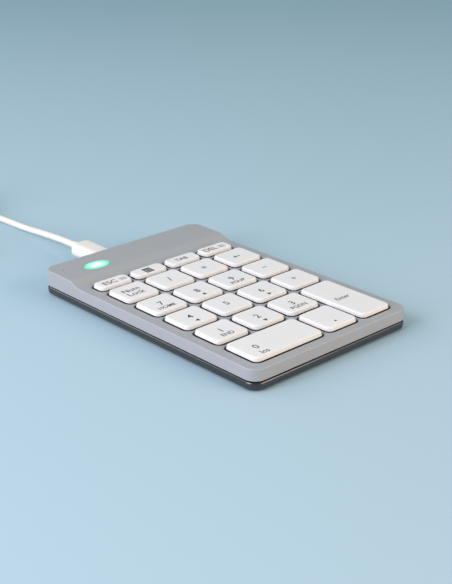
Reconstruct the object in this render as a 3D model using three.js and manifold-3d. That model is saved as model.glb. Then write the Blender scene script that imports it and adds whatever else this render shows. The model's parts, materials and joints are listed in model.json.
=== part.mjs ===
// A slim corded numeric keypad: keycaps that slide in a guide frame over a sheet of rubber
// domes, in a two-part case, with a detachable lead. Millimetres, +Z up, +Y away from the
// user. The origin is on the table, under the middle of the case.
import * as THREE from "three";
import { mergeVertices } from "three/addons/utils/BufferGeometryUtils.js";
import Module from "manifold-3d";

const wasm = await Module();
wasm.setup();

// Case: margins round the keys, heights and walls.
const sideMargin = 5.35;
const frontMargin = 4.65;
const deckBackMargin = 1.2;
const caseCornerRadius = 5;
const caseEdgeRadius = 0.5;
const sideEdgeRadius = 0.4;
const deckHeight = 9;
const deckThickness = 1.6;
const humpRise = 2;
const humpLength = 17.2;
const humpSlopeLength = 7.8;
const coverWall = 1.8;
const standOff = 0.5;
const baseFloor = 1.5;
const splitHeight = 3.8;
const splitGap = 0.5;
const baseProud = 0.2;
const baseEdgeRadius = 1.1;
const lipThickness = 0.6;
const lipHeight = 1.2;

// Keys.
const columnGap = 2.5;
const functionGap = 2.25;
const keyWidth = 16.5;
const keyDepth = 14.8;
const functionDepth = 7.5;
const bottomDepth = 17.35;
const rowGap = 2.5;
const keyCorner = 2.2;
const keyEdge = 0.5;
const keyDraft = 0.35;
const keyRise = 1.6;
const keySkirt = 0.05;
const keyWall = 1.2;
const keyRoof = 1.1;
const keyTravel = 1.5;
const keyClearance = 0.8;

// What the keys run on.
const layerGap = 0.3;
const plateThickness = 0.5;
const sheetThickness = 0.3;
const domeSheetThickness = 0.4;
const pressedGap = 1.25;
const frameThickness = 0.7;
const frameRim = 1;
const stemWidth = 5;
const stemDepth = 5;
const functionStemDepth = 2.2;
const stemClearance = 0.3;
const towerWall = 0.9;
const towerGap = 0.5;
const stemToDome = 0.3;
const domeBase = 7.6;
const domeIntoFrame = 0.5;
const domeFootMargin = 0.5;

// Wire bars that keep the two long keys level.
const wireDiameter = 0.7;
const barHalfSpan = 12;
const barArm = 5;
const barRise = 1.25;
const barTip = 2;
const barClearance = 0.3;
const clipWall = 0.5;
const clipThickness = 1.6;
const clipToArm = 4.5;
const lugWall = 0.55;

// Socket and lead.
const portX = -8.9;
const portHeight = 6.4;
const shellWidth = 8.25;
const shellHeight = 2.4;
const shellWall = 0.45;
const shellCorner = 1.1;
const plugWidth = 10.6;
const plugThickness = 6.4;
const plugLength = 19;
const plugEdge = 1.4;
const plugRelief = 4;
const cordDiameter = 3;
const farPlugWidth = 15.6;
const farPlugThickness = 8;
const farPlugLength = 21;
const farShellWidth = 12;
const farShellHeight = 4.5;
const farShellLength = 12;

// Fasteners and small parts.
const shankDiameter = 1.6;
const headDiameter = 3.2;
const headThickness = 0.5;
const bossDiameter = 4.4;
const bossFromSide = 7.1;
const postDiameter = 2;
const footDiameter = 8;
const footThickness = 0.9;
const footFromSide = 9.1;
const footFromEnd = 9.7;
const boardThickness = 1;
const boardHeight = 3.3;
const boardFromRight = 11;
const boardPostDiameter = 3;
const boardPostX = 24;
const boardPostInset = 2.5;
const chipSize = 7;
const chipX = 6.5;
const connectorWidth = 13;
const connectorDepth = 4.5;
const connectorX = 14;
const tailWidth = 10;
const windowLength = 12.4;
const windowWidth = 7.6;
const windowFromSide = 19.1;
const windowFromBack = 11.9;
const pinholeFromSide = 5.6;
const pinholeFromBack = 7.5;
const pinholeDiameter = 1.4;
const lightPipeDiameter = 0.8;
const fit = 0.3;

// Rows and columns of keys, and what follows from them.
const COLUMNS = 4;
const ROWS = 4;
const columnPitch = keyWidth + columnGap;
const rowPitch = keyDepth + rowGap;
const caseWidth = COLUMNS * keyWidth + (COLUMNS - 1) * columnGap + 2 * sideMargin;
const keyFieldLength = bottomDepth + rowGap + ROWS * rowPitch + functionDepth;
const caseLength = frontMargin + keyFieldLength + deckBackMargin + humpSlopeLength + humpLength;
const halfWidth = caseWidth / 2;
const halfLength = caseLength / 2;
const keyFieldFront = -halfLength + frontMargin;
const firstRowFront = keyFieldFront + bottomDepth + rowGap;
const columnX = (column) => (column - (COLUMNS - 1) / 2) * columnPitch;
const rowGapY = (row) => firstRowFront + (row + 1) * rowPitch - rowGap / 2;

// Heights and edges that follow from the sizes above.
const humpHeight = deckHeight + humpRise;
const coverBottom = splitHeight + splitGap;
const floorTop = standOff + baseFloor;
const screwHead = standOff + 0.1;
const plateBottom = floorTop + layerGap;
const sheetBottom = plateBottom + plateThickness + layerGap;
const domeBottom = sheetBottom + sheetThickness + layerGap;
const domeSheetTop = domeBottom + domeSheetThickness;
const capTop = deckHeight + keyRise;
const capBottom = deckHeight - keySkirt;
const capRoof = capTop - keyRoof;
const frameTop = capBottom - keyTravel - pressedGap;
const frameBottom = frameTop - frameThickness;
const frameBossTop = capBottom - keyTravel - fit;
const towerTop = capRoof - keyTravel - towerGap;
const domeTop = frameBottom + domeIntoFrame;
const stemBottom = domeTop + stemToDome;
const screwTop = frameTop - 0.5;
const slopeTop = halfLength - humpLength;
const deckBack = slopeTop - humpSlopeLength;
const sheetBack = deckBack + 1;
const innerHalfWidth = halfWidth - coverWall - fit;
const innerFront = -halfLength + coverWall + fit;
const innerCorner = caseCornerRadius - coverWall - fit;
const boardFront = sheetBack + 1.4;
const connectorFront = boardFront + 1;
const boardBack = halfLength - coverWall - 1.2;
const boardTop = boardHeight + boardThickness + layerGap;
const windowX = -halfWidth + windowFromSide;
const windowY = halfLength - windowFromBack;
const pinholeX = -halfWidth + pinholeFromSide;
const pinholeY = halfLength - pinholeFromBack;

// A height or reach that passes right through the case.
const THROUGH = 30;

// Sides of a small round solid.
const ROUND = 12;
const FOOT_SIDES = 20;

function toSolid(geometry) {
  const bare = geometry.index ? geometry.toNonIndexed() : geometry.clone();
  bare.deleteAttribute("normal");
  bare.deleteAttribute("uv");
  const merged = mergeVertices(bare, 1e-4);
  return new wasm.Manifold(
    new wasm.Mesh({
      numProp: 3,
      vertProperties: merged.attributes.position.array,
      triVerts: new Uint32Array(merged.index.array),
    }),
  );
}

function toGeometry(solid) {
  const mesh = solid.getMesh();
  const geometry = new THREE.BufferGeometry();
  geometry.setAttribute("position", new THREE.BufferAttribute(mesh.vertProperties, 3));
  geometry.setIndex(new THREE.BufferAttribute(mesh.triVerts, 1));
  geometry.computeVertexNormals();
  return geometry;
}

const joined = (solids) => solids.reduce((all, one) => all.add(one));

function box(x0, x1, y0, y1, z0, z1) {
  const block = new THREE.BoxGeometry(x1 - x0, y1 - y0, z1 - z0);
  return toSolid(block.translate((x0 + x1) / 2, (y0 + y1) / 2, (z0 + z1) / 2));
}

function rod(x, y, z0, z1, diameter, endDiameter = diameter, sides = ROUND) {
  const cylinder = new THREE.CylinderGeometry(endDiameter / 2, diameter / 2, z1 - z0, sides);
  return toSolid(cylinder.rotateX(Math.PI / 2).translate(x, y, (z0 + z1) / 2));
}

function roundedRectangle(width, depth, radius) {
  const shape = new THREE.Shape();
  const x = width / 2 - radius;
  const y = depth / 2 - radius;
  shape.absarc(x, y, radius, 0, Math.PI / 2);
  shape.absarc(-x, y, radius, Math.PI / 2, Math.PI);
  shape.absarc(-x, -y, radius, Math.PI, Math.PI * 1.5);
  shape.absarc(x, -y, radius, Math.PI * 1.5, Math.PI * 2);
  return shape;
}

function prism(width, depth, radius, z0, z1, curveSegments = 2) {
  const options = { depth: z1 - z0, bevelEnabled: false, curveSegments };
  const geometry = new THREE.ExtrudeGeometry(roundedRectangle(width, depth, radius), options);
  return geometry.translate(0, 0, z0);
}

// A prism whose upper and lower edges are rounded, still `width` by `depth` at its widest.
function softPrism(width, depth, radius, z0, z1, edge, curveSegments, bevelSegments) {
  const options = {
    depth: z1 - z0 - 2 * edge,
    bevelEnabled: true,
    bevelThickness: edge,
    bevelSize: edge,
    bevelOffset: -edge,
    bevelSegments,
    curveSegments,
  };
  const geometry = new THREE.ExtrudeGeometry(roundedRectangle(width, depth, radius), options);
  return geometry.translate(0, 0, z0 + edge);
}

// Every key: its name, middle and outline, worked out row by row from the front edge.
function keyPlan() {
  const rows = [
    ["key_1", "key_2", "key_3", "key_enter"],
    ["key_4", "key_5", "key_6", "key_plus"],
    ["key_7", "key_8", "key_9", "key_minus"],
    ["key_num_lock", "key_divide", "key_multiply", "key_backspace"],
  ];
  const keys = [];
  const add = (name, x, y, width, depth, more) => keys.push({ name, x, y, width, depth, ...more });
  rows.forEach((names, row) => {
    const y = firstRowFront + row * rowPitch + keyDepth / 2;
    names.forEach((name, column) => add(name, columnX(column), y, keyWidth, keyDepth));
  });
  const enter = keys.find((key) => key.name === "key_enter");
  enter.depth = firstRowFront + keyDepth - keyFieldFront;
  enter.y = keyFieldFront + enter.depth / 2;
  enter.bar = "y";
  const bottomY = keyFieldFront + bottomDepth / 2;
  const zeroX = (columnX(0) + columnX(1)) / 2;
  add("key_0", zeroX, bottomY, keyWidth + columnPitch, bottomDepth, { bar: "x" });
  add("key_decimal", columnX(2), bottomY, keyWidth, bottomDepth);
  const functionY = firstRowFront + ROWS * rowPitch + functionDepth / 2;
  ["key_esc", "key_calculator", "key_tab", "key_delete"].forEach((name, column) => {
    const x = columnX(0) + column * (keyWidth + functionGap);
    add(name, x, functionY, keyWidth, functionDepth, { stem: functionStemDepth });
  });
  return keys;
}

const keys = keyPlan();
const stemDepthOf = (key) => key.stem ?? stemDepth;

// Turns a solid made along X so that it runs along the bar of the key.
const alongBar = (key, solid) => (key.bar === "y" ? solid.rotate([0, 0, -90]) : solid);

// The lug under a long key that holds one tip of its wire bar.
function lugSpan(side) {
  const outer = barHalfSpan - wireDiameter / 2 - barClearance;
  const inner = outer - barTip + wireDiameter;
  return side > 0 ? [inner, outer] : [-outer, -inner];
}

// The bar turns beside one inner wall of its key; its tips start half a stroke above that.
const clipHalf = wireDiameter / 2 + barClearance + clipWall;
const barOffset = keyWidth / 2 - keyWall - fit - clipHalf;
const barPivotHeight = frameTop + barRise;
const tipY = -barOffset + barArm;
const tipHeight = barPivotHeight + keyTravel / 2;
const lugHole = wireDiameter + 2 * barClearance;
const lugHalf = lugHole / 2 + lugWall;

function barLugs(key) {
  const lugs = [-1, 1].map((side) => {
    const [x0, x1] = lugSpan(side);
    const block = box(x0, x1, tipY - lugHalf, tipY + lugHalf, tipHeight - lugHalf, capRoof + fit);
    const hole = lugHole / 2;
    return block.subtract(
      box(x0 - 1, x1 + 1, tipY - hole, tipY + hole, tipHeight - hole, tipHeight + hole),
    );
  });
  return lugs.map((lug) => alongBar(key, lug));
}

// A moulded cap: drafted sides, rounded upper edges, hollow below, a square stem in the middle.
function keycap(key) {
  const geometry = softPrism(
    key.width, key.depth, keyCorner, capBottom - 2 * keyEdge, capTop, keyEdge, 2, 2,
  );
  const position = geometry.getAttribute("position");
  const height = capTop - capBottom;
  for (let i = 0; i < position.count; i += 1) {
    const inset = keyDraft * Math.max(0, (position.getZ(i) - capBottom) / height);
    position.setX(i, position.getX(i) - Math.sign(position.getX(i)) * inset);
    position.setY(i, position.getY(i) - Math.sign(position.getY(i)) * inset);
  }
  const skin = toSolid(geometry).intersect(
    box(-key.width, key.width, -key.depth, key.depth, capBottom, capTop + 1),
  );
  const hollow = toSolid(
    prism(key.width - 2 * keyWall, key.depth - 2 * keyWall, keyCorner - keyWall, 0, capRoof, 2),
  );
  const halfStem = stemDepthOf(key) / 2;
  const stem = box(-stemWidth / 2, stemWidth / 2, -halfStem, halfStem, stemBottom, capRoof + fit);
  const lugs = key.bar ? barLugs(key) : [];
  return joined([skin.subtract(hollow), stem, ...lugs]);
}

// A bent steel wire: a pivot length, two arms that rise to the key, and two inward tips.
function wireBar(key) {
  const sides = 8;
  const between = (start, end) => {
    const a = new THREE.Vector3(...start);
    const b = new THREE.Vector3(...end);
    const radius = wireDiameter / 2;
    const cylinder = new THREE.CylinderGeometry(radius, radius, a.distanceTo(b), sides);
    const turn = new THREE.Quaternion().setFromUnitVectors(
      new THREE.Vector3(0, 1, 0), b.clone().sub(a).normalize(),
    );
    cylinder.applyQuaternion(turn);
    return toSolid(cylinder.translate(...a.add(b).multiplyScalar(0.5).toArray()));
  };
  const span = barHalfSpan;
  const end = barHalfSpan + wireDiameter / 2;
  const low = (x) => [x, -barOffset, barPivotHeight];
  const high = (x) => [x, tipY, tipHeight];
  const lengths = [between(low(-end), low(end))];
  [-1, 1].forEach((side) => {
    lengths.push(between(low(side * span), high(side * span)));
    lengths.push(between(high(side * end), high(side * (span - barTip))));
  });
  return alongBar(key, joined(lengths));
}

// The side view of the cover: a flat deck, then an S-shaped rise to a flat hump at the back.
function coverSideProfile(drop, bottom) {
  const shape = new THREE.Shape();
  const middle = (deckBack + slopeTop) / 2;
  const deck = deckHeight - drop;
  const hump = humpHeight - drop;
  const round = Math.max(caseEdgeRadius - drop, 0.05);
  const front = -halfLength + drop;
  const back = halfLength - drop;
  shape.moveTo(front, bottom);
  shape.lineTo(back, bottom);
  shape.absarc(back - round, hump - round, round, 0, Math.PI / 2);
  shape.lineTo(slopeTop, hump);
  shape.bezierCurveTo(middle, hump, middle, deck, deckBack, deck);
  shape.absarc(front + round, deck - round, round, Math.PI / 2, Math.PI);
  return shape;
}

// Extrudes a side view (Y across, Z up) along X, with its long edges rounded by `edge`.
function sideExtrusion(shape, width, edge, curveSegments) {
  const geometry = new THREE.ExtrudeGeometry(shape, {
    depth: width - 2 * edge,
    bevelEnabled: edge > 0,
    bevelThickness: edge,
    bevelSize: edge,
    bevelOffset: -edge,
    bevelSegments: 2,
    curveSegments,
  });
  geometry.translate(0, 0, -width / 2 + edge);
  geometry.applyMatrix4(new THREE.Matrix4().set(0, 0, 1, 0, 1, 0, 0, 0, 0, 1, 0, 0, 0, 0, 0, 1));
  return toSolid(geometry);
}

// Screw bosses and posts stand where the gaps between the keys cross, or beside the hump.
const coverBosses = [
  [-halfWidth + bossFromSide, slopeTop],
  [halfWidth - bossFromSide, slopeTop],
];
const frameBosses = [
  [-columnPitch, rowGapY(2)],
  [columnPitch, rowGapY(2)],
  [0, rowGapY(0)],
  [columnPitch, rowGapY(0)],
];
const coverPosts = [
  [-columnPitch, rowGapY(3)],
  [columnPitch, rowGapY(3)],
  [0, rowGapY(1)],
  [-columnPitch, rowGapY(0)],
];

function screwHole(x, y, z0, z1) {
  return rod(x, y, z0, z1, shankDiameter + 2 * fit);
}

const blindScrewHole = (x, y) => screwHole(x, y, 0, screwTop + fit);

function topCover() {
  const outline = prism(caseWidth, caseLength, caseCornerRadius, coverBottom, humpHeight + 1, 4);
  let solid = sideExtrusion(coverSideProfile(0, coverBottom - 2), caseWidth, sideEdgeRadius, 3);
  solid = solid.intersect(toSolid(outline));
  const room = prism(
    caseWidth - 2 * coverWall, caseLength - 2 * coverWall, caseCornerRadius - coverWall, 0, THROUGH, 4,
  );
  const roof = sideExtrusion(coverSideProfile(deckThickness, -5), caseWidth, 0, 4);
  solid = solid.subtract(toSolid(room).intersect(roof));
  const rebate = prism(
    caseWidth - 2 * (coverWall - lipThickness - 2 * fit),
    caseLength - 2 * (coverWall - lipThickness - 2 * fit),
    caseCornerRadius - coverWall + lipThickness + 2 * fit,
    0, splitHeight + lipHeight + 2 * fit, 4,
  );
  solid = solid.subtract(toSolid(rebate));
  keys.forEach((key) => {
    const wide = key.width + 2 * keyClearance;
    const deep = key.depth + 2 * keyClearance;
    const opening = prism(wide, deep, keyCorner + keyClearance, 0, THROUGH);
    solid = solid.subtract(toSolid(opening.translate(key.x, key.y, 0)));
  });
  const intoRoof = 0.2;
  coverBosses.forEach(([x, y]) => {
    const top = humpHeight - deckThickness + intoRoof;
    solid = solid.add(rod(x, y, floorTop + layerGap, top, bossDiameter));
    solid = solid.subtract(blindScrewHole(x, y));
  });
  coverPosts.forEach(([x, y]) => {
    const top = deckHeight - deckThickness + intoRoof;
    solid = solid.add(rod(x, y, frameTop + layerGap, top, postDiameter, postDiameter + 0.2, 8));
  });
  const port = prism(
    shellWidth + 4 * fit, shellHeight + 4 * fit, shellCorner + 2 * fit, 0, 2 * coverWall,
  );
  port.rotateX(Math.PI / 2).translate(portX, halfLength + coverWall / 2, portHeight);
  solid = solid.subtract(toSolid(port));
  solid = solid.subtract(windowBody(fit, 0, THROUGH));
  return solid.subtract(rod(pinholeX, pinholeY, 0, THROUGH, pinholeDiameter, pinholeDiameter, 8));
}

// An upright oval, `grow` larger all round than the indicator window.
function windowBody(grow, z0, z1) {
  const shape = new THREE.Shape();
  shape.absellipse(0, 0, windowLength / 2 + grow, windowWidth / 2 + grow, 0, Math.PI * 2);
  const options = { depth: z1 - z0, bevelEnabled: false, curveSegments: 16 };
  return toSolid(new THREE.ExtrudeGeometry(shape, options).translate(windowX, windowY, z0));
}

// The lens, just below the hump's face, with a flange under the roof that keeps it in.
function indicatorWindow() {
  const flange = 1;
  const top = humpHeight - deckThickness - fit;
  const lens = windowBody(0, top - flange, humpHeight - 0.05);
  return lens.add(windowBody(flange, top - flange, top));
}

const corners = (x, front, back) => [[-x, front], [-x, back], [x, front], [x, back]];

const screwPlaces = [...coverBosses, ...frameBosses];
const footPlaces = corners(halfWidth - footFromSide, -halfLength + footFromEnd, halfLength - footFromEnd);
const boardPosts = corners(boardPostX, boardFront + boardPostInset, boardBack - boardPostInset);

function baseTray() {
  const wide = caseWidth + 2 * baseProud;
  const long = caseLength + 2 * baseProud;
  const corner = caseCornerRadius + baseProud;
  const edge = baseEdgeRadius;
  let solid = toSolid(softPrism(wide, long, corner, standOff, splitHeight + edge, edge, 4, 2));
  solid = solid.intersect(box(-wide, wide, -long, long, 0, splitHeight));
  const lipInset = coverWall - lipThickness - fit;
  const lip = prism(
    caseWidth - 2 * lipInset, caseLength - 2 * lipInset, caseCornerRadius - lipInset,
    splitHeight - 1, splitHeight + lipHeight, 4,
  );
  solid = solid.add(toSolid(lip));
  const roomInset = lipInset + lipThickness;
  const room = prism(
    caseWidth - 2 * roomInset, caseLength - 2 * roomInset, caseCornerRadius - roomInset,
    floorTop, THROUGH, 4,
  );
  solid = solid.subtract(toSolid(room));
  screwPlaces.forEach(([x, y]) => {
    const recess = screwHead + headThickness + fit;
    solid = solid.subtract(screwHole(x, y, 0, floorTop + 1));
    solid = solid.subtract(rod(x, y, 0, recess, headDiameter + 2 * fit));
  });
  const footHole = footDiameter + 2 * fit;
  footPlaces.forEach(([x, y]) => {
    solid = solid.subtract(rod(x, y, -1, footThickness + layerGap, footHole, footHole, FOOT_SIDES));
  });
  boardPosts.forEach(([x, y]) => {
    const post = boardPostDiameter;
    solid = solid.add(rod(x, y, floorTop - 0.2, boardHeight - layerGap, post, post, 8));
  });
  return solid;
}

// How far the films and the plate stay inside the frame that lies on them.
const filmInset = 0.6;

// A flat layer over the whole key field, with holes where the screws pass.
function layer(z0, z1, inset) {
  const wide = 2 * (innerHalfWidth - inset);
  const front = innerFront + inset;
  const slab = prism(wide, sheetBack - front, innerCorner, z0, z1);
  let solid = toSolid(slab.translate(0, (sheetBack + front) / 2, 0));
  frameBosses.forEach(([x, y]) => {
    solid = solid.subtract(screwHole(x, y, z0 - 1, z1 + 1));
  });
  return solid;
}

function switchSheet() {
  const top = sheetBottom + sheetThickness;
  const tailTop = boardTop + layerGap;
  const x0 = connectorX - tailWidth / 2;
  const x1 = connectorX + tailWidth / 2;
  const bend = sheetBack + 0.5;
  const run = box(x0, x1, sheetBack - 1, bend + sheetThickness, sheetBottom, top);
  const riser = box(x0, x1, bend, bend + sheetThickness, sheetBottom, tailTop);
  const end = box(x0, x1, bend, connectorFront - fit, tailTop - sheetThickness, tailTop);
  return joined([layer(sheetBottom, top, filmInset), run, riser, end]);
}

// One rubber sheet with a dome under each key's stem: a cone with a short neck.
function domeSheet() {
  const neck = 1;
  const overlap = 0.1;
  let solid = layer(domeBottom, domeSheetTop, filmInset);
  keys.forEach((key) => {
    const top = Math.min(stemDepthOf(key), stemWidth) - 2 * overlap;
    const foot = Math.min(domeBase, key.depth - 2 * domeFootMargin);
    solid = solid.add(rod(key.x, key.y, domeSheetTop - overlap, domeTop - neck, foot, top, 8));
    solid = solid.add(rod(key.x, key.y, domeTop - neck - overlap, domeTop, top, top, 8));
  });
  return solid;
}

// The moulded frame that guides every stem, with clips for the wire bars and screw bosses.
function keyFrame() {
  let solid = layer(frameBottom, frameTop, 0);
  const width = 2 * innerHalfWidth;
  const length = sheetBack - innerFront;
  const middle = (sheetBack + innerFront) / 2;
  const rimBottom = domeSheetTop + layerGap;
  const outer = prism(width, length, innerCorner, rimBottom, frameTop);
  const inner = prism(
    width - 2 * frameRim, length - 2 * frameRim, innerCorner - frameRim, 0, THROUGH,
  );
  const rim = toSolid(outer).subtract(toSolid(inner));
  solid = solid.add(rim.translate([0, middle, 0]));
  frameBosses.forEach(([x, y]) => {
    solid = solid.add(rod(x, y, rimBottom, frameBossTop, bossDiameter));
    solid = solid.subtract(blindScrewHole(x, y));
  });
  keys.forEach((key) => {
    const holeX = stemWidth / 2 + stemClearance;
    const holeY = stemDepthOf(key) / 2 + stemClearance;
    const wallX = holeX + towerWall;
    const wallY = holeY + towerWall;
    const { x, y } = key;
    solid = solid.add(box(x - wallX, x + wallX, y - wallY, y + wallY, frameBottom, towerTop));
    solid = solid.subtract(box(x - holeX, x + holeX, y - holeY, y + holeY, 0, THROUGH));
    if (key.bar) {
      barClips(key).forEach((clip) => {
        solid = solid.add(clip.translate([x, y, 0]));
      });
      barWindows(key).forEach((window) => {
        solid = solid.subtract(window.translate([x, y, 0]));
      });
    }
  });
  return solid;
}

function barClips(key) {
  const slot = clipHalf - clipWall;
  const top = barPivotHeight + slot - 0.2;
  return [-1, 1].map((side) => {
    const x0 = side * (barHalfSpan - clipToArm) - clipThickness / 2;
    const x1 = x0 + clipThickness;
    const post = box(x0, x1, -barOffset - clipHalf, -barOffset + clipHalf, frameBottom, top);
    const groove = box(
      x0 - 1, x1 + 1, -barOffset - slot, -barOffset + slot, barPivotHeight - slot, THROUGH,
    );
    return alongBar(key, post.subtract(groove));
  });
}

// Openings in the frame that let the lugs and the ends of the bar go down with the key.
function barWindows(key) {
  const clear = 0.4;
  return [-1, 1].map((side) => {
    const [x0] = lugSpan(1);
    const x1 = barHalfSpan + wireDiameter / 2;
    const low = side > 0 ? x0 : -x1;
    const high = side > 0 ? x1 : -x0;
    return alongBar(
      key,
      box(low - clear, high + clear, tipY - lugHalf - clear, tipY + lugHalf + clear, 0, THROUGH),
    );
  });
}

function circuitBoard() {
  const x0 = -innerHalfWidth + 1;
  const x1 = innerHalfWidth - boardFromRight;
  let solid = box(x0, x1, boardFront, boardBack, boardHeight, boardHeight + boardThickness);
  coverBosses.forEach(([x, y]) => {
    solid = solid.subtract(rod(x, y, 0, THROUGH, bossDiameter + 4 * fit));
  });
  return solid;
}

const socketLength = 7.2;
const socketMouth = halfLength - coverWall - fit;

// A prism that lies along Y in the socket's line and ends at y = `start`.
function alongPort(width, height, corner, length, start) {
  const geometry = prism(width, height, corner, 0, length);
  return toSolid(geometry.rotateX(Math.PI / 2).translate(portX, start, portHeight));
}

// The socket: a pressed metal can, open to the back, with a contact tongue inside.
function usbSocket() {
  const wide = shellWidth + 2 * fit;
  const high = shellHeight + 2 * fit;
  const corner = shellCorner + fit;
  const can = alongPort(
    wide + 2 * shellWall, high + 2 * shellWall, corner + shellWall, socketLength, socketMouth,
  );
  const bore = alongPort(wide, high, corner, socketLength - 0.8, socketMouth + 0.01);
  const tongueX = 3;
  const tongueZ = 0.35;
  const tongue = box(
    portX - tongueX, portX + tongueX, socketMouth - socketLength + 0.2, socketMouth - 1.6,
    portHeight - tongueZ, portHeight + tongueZ,
  );
  return can.subtract(bore).add(tongue);
}

// The metal shell of the plug, hollow at its front so that it passes over the tongue.
function plugShell() {
  const front = socketMouth - socketLength + 0.8 + 2 * fit + 0.2;
  const body = alongPort(shellWidth, shellHeight, shellCorner, halfLength - front, halfLength);
  const hollow = alongPort(
    shellWidth - 2 * shellWall, shellHeight - 2 * shellWall, shellCorner - shellWall, 6.3, front + 5.3,
  );
  return body.subtract(hollow);
}

// A soft overmould that lies along -Z from 0, with a short taper of the cord's thickness on it.
function overmould(width, thickness, corner, edge, length, relief) {
  const body = toSolid(softPrism(width, thickness, corner, -length, 0, edge, 3, 2));
  const intoBody = 1;
  const tip = cordDiameter + 2 * fit;
  return body.add(rod(0, 0, -length - plugRelief, -length + intoBody, tip, relief));
}

function plugBody() {
  const corner = plugThickness / 2 - 0.3;
  const body = overmould(
    plugWidth, plugThickness, corner, plugEdge, plugLength, plugThickness - 1.2,
  );
  return body.rotate([90, 0, 0]).translate([portX, halfLength + fit, portHeight]);
}

// The free lead, from the tail of the plug, in a frame of its own: its origin is on the table
// under the end of the plug's taper. The first stretch runs back and down onto the table.
const plugTail = halfLength + fit + plugLength + plugRelief;
const cordRoute = [
  [0, 0.3, 6.4],
  [0.2, 6, 6.35],
  [0.6, 12, 5.9],
  [1.2, 19, 5.2],
  [1.8, 26, 4.4],
  [2.5, 33, 3.5],
  [3.1, 40, 2.6],
  [3.6, 47, 1.9],
  [3.8, 54, 1.55],
  [3.6, 61, 1.5],
  [3.1, 68, 1.5],
  [2.6, 74, 1.5],
  [2.4, 80.4, 1.5],
];
const coilCentre = [-19.1, 93];
const coilInner = 9.8;
const coilOuter = 23.2;
const coilBottom = 0.9;
const coilTop = 13;
const COIL_SIDES = 24;
const strapWidth = 7;
const strapThickness = 0.6;
const tailRoute = [
  [-41, 80.4, 9],
  [-41.1, 76, 7.4],
  [-41.1, 71.5, 5.6],
  [-41.1, 67, 4.5],
  [-41.1, 63.3, 4.2],
];

function cordTube(points) {
  const route = points.map((point) => new THREE.Vector3(...point));
  const curve = new THREE.CatmullRomCurve3(route, false, "centripetal");
  const section = new THREE.Shape();
  section.absarc(0, 0, cordDiameter / 2, 0, Math.PI * 2);
  const steps = Math.max(4, Math.ceil(curve.getLength() / (2.2 * cordDiameter)));
  return new THREE.ExtrudeGeometry(section, { steps, extrudePath: curve, curveSegments: 4 });
}

function cordCoil() {
  const outline = [
    [coilInner, coilBottom],
    [coilOuter, coilBottom],
    [coilOuter, coilTop],
    [coilInner, coilTop],
    [coilInner, coilBottom],
  ].map(([r, z]) => new THREE.Vector2(r, z));
  const ring = new THREE.LatheGeometry(outline, COIL_SIDES).rotateX(Math.PI / 2);
  const [x, y] = coilCentre;
  return ring.translate(x, y, 0);
}

// A soft strap round the coil, wide enough to clear the bend of the coil's inner side.
function cordTie() {
  const half = strapWidth / 2;
  const strap = strapThickness;
  const [x, y] = coilCentre;
  const low = y + Math.sqrt(coilInner ** 2 - half ** 2) * Math.cos(Math.PI / COIL_SIDES) - fit;
  const high = y + coilOuter + fit;
  const inside = box(x - 2 * half, x + 2 * half, low, high, coilBottom - fit, coilTop + fit);
  const outside = box(
    x - half, x + half, low - strap, high + strap, coilBottom - fit - strap, coilTop + fit + strap,
  );
  return outside.subtract(inside);
}

// The far plug lies flat beside the coil, its middle `farPlugHeight` above the table.
const farPlugX = -41.1;
const farPlugHeight = farPlugThickness / 2 + 0.2;
const farPlugEnd = 63;

function farPlugBody() {
  const corner = farPlugThickness / 4;
  const body = overmould(farPlugWidth, farPlugThickness, corner, 1.2, farPlugLength, 6);
  const front = farPlugEnd - plugRelief - farPlugLength;
  return body.rotate([90, 0, 0]).translate([farPlugX, front, farPlugHeight]);
}

// Its metal shell: a flat open box with the contact tongue along its lower half.
function farPlugShell() {
  const wall = 0.4;
  const back = farPlugEnd - plugRelief - farPlugLength - fit;
  const front = back - farShellLength;
  const x = farPlugX;
  const z = farPlugHeight;
  const wide = farShellWidth / 2;
  const high = farShellHeight / 2;
  const outside = box(x - wide, x + wide, front, back, z - high, z + high);
  const inside = box(
    x - wide + wall, x + wide - wall, front - 1, back - 3, z - high + wall, z + high - wall,
  );
  const lap = wall - 0.1;
  const tongue = box(x - wide + lap, x + wide - lap, front + wall, back - 2, z - high + lap, z);
  return outside.subtract(inside).add(tongue);
}

// A pan-head screw from below, with a slot across its head.
function caseScrew(x, y) {
  const head = rod(x, y, screwHead, screwHead + headThickness, headDiameter);
  const shank = rod(x, y, screwHead + headThickness - 0.1, screwTop, shankDiameter);
  const slot = box(x - 0.8, x + 0.8, y - 0.2, y + 0.2, 0, screwHead + headThickness / 2);
  return head.add(shank).subtract(slot);
}

const block = (x, y, width, depth, height) =>
  box(x - width / 2, x + width / 2, y - depth / 2, y + depth / 2, boardTop, boardTop + height);

function lockLightPipe() {
  const top = humpHeight - 0.4;
  return rod(pinholeX, pinholeY, boardTop, top, lightPipeDiameter, lightPipeDiameter, 8);
}

// Finishes.
const finish = (color, roughness, metalness = 0) =>
  new THREE.MeshStandardMaterial({ color, roughness, metalness });
const coverPlastic = () => finish(0xb4b3b1, 0.55);
const baseGloss = () => finish(0x15161a, 0.18);
const capPlastic = () => finish(0xe9e8e6, 0.45);
const framePlastic = () => finish(0x26272a, 0.6);
const siliconeRubber = () => finish(0xcfd3d6, 0.7);
const polyesterFilm = () => finish(0x9fb3a8, 0.35);
const bareSteel = () => finish(0x9a9da1, 0.35, 1);
const boardLaminate = () => finish(0x14532d, 0.5);
const chipEpoxy = () => finish(0x111214, 0.5);
const greenDiffuser = () => finish(0x4bf0a4, 0.3);
const lampDiffuser = () => finish(0xf4f6f0, 0.4);
const footRubber = () => finish(0x202124, 0.9);
const cordJacket = () => finish(0xe8e4dd, 0.5);
const strapFabric = () => finish(0xdedbd5, 0.85);

const keypad = new THREE.Group();

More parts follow.
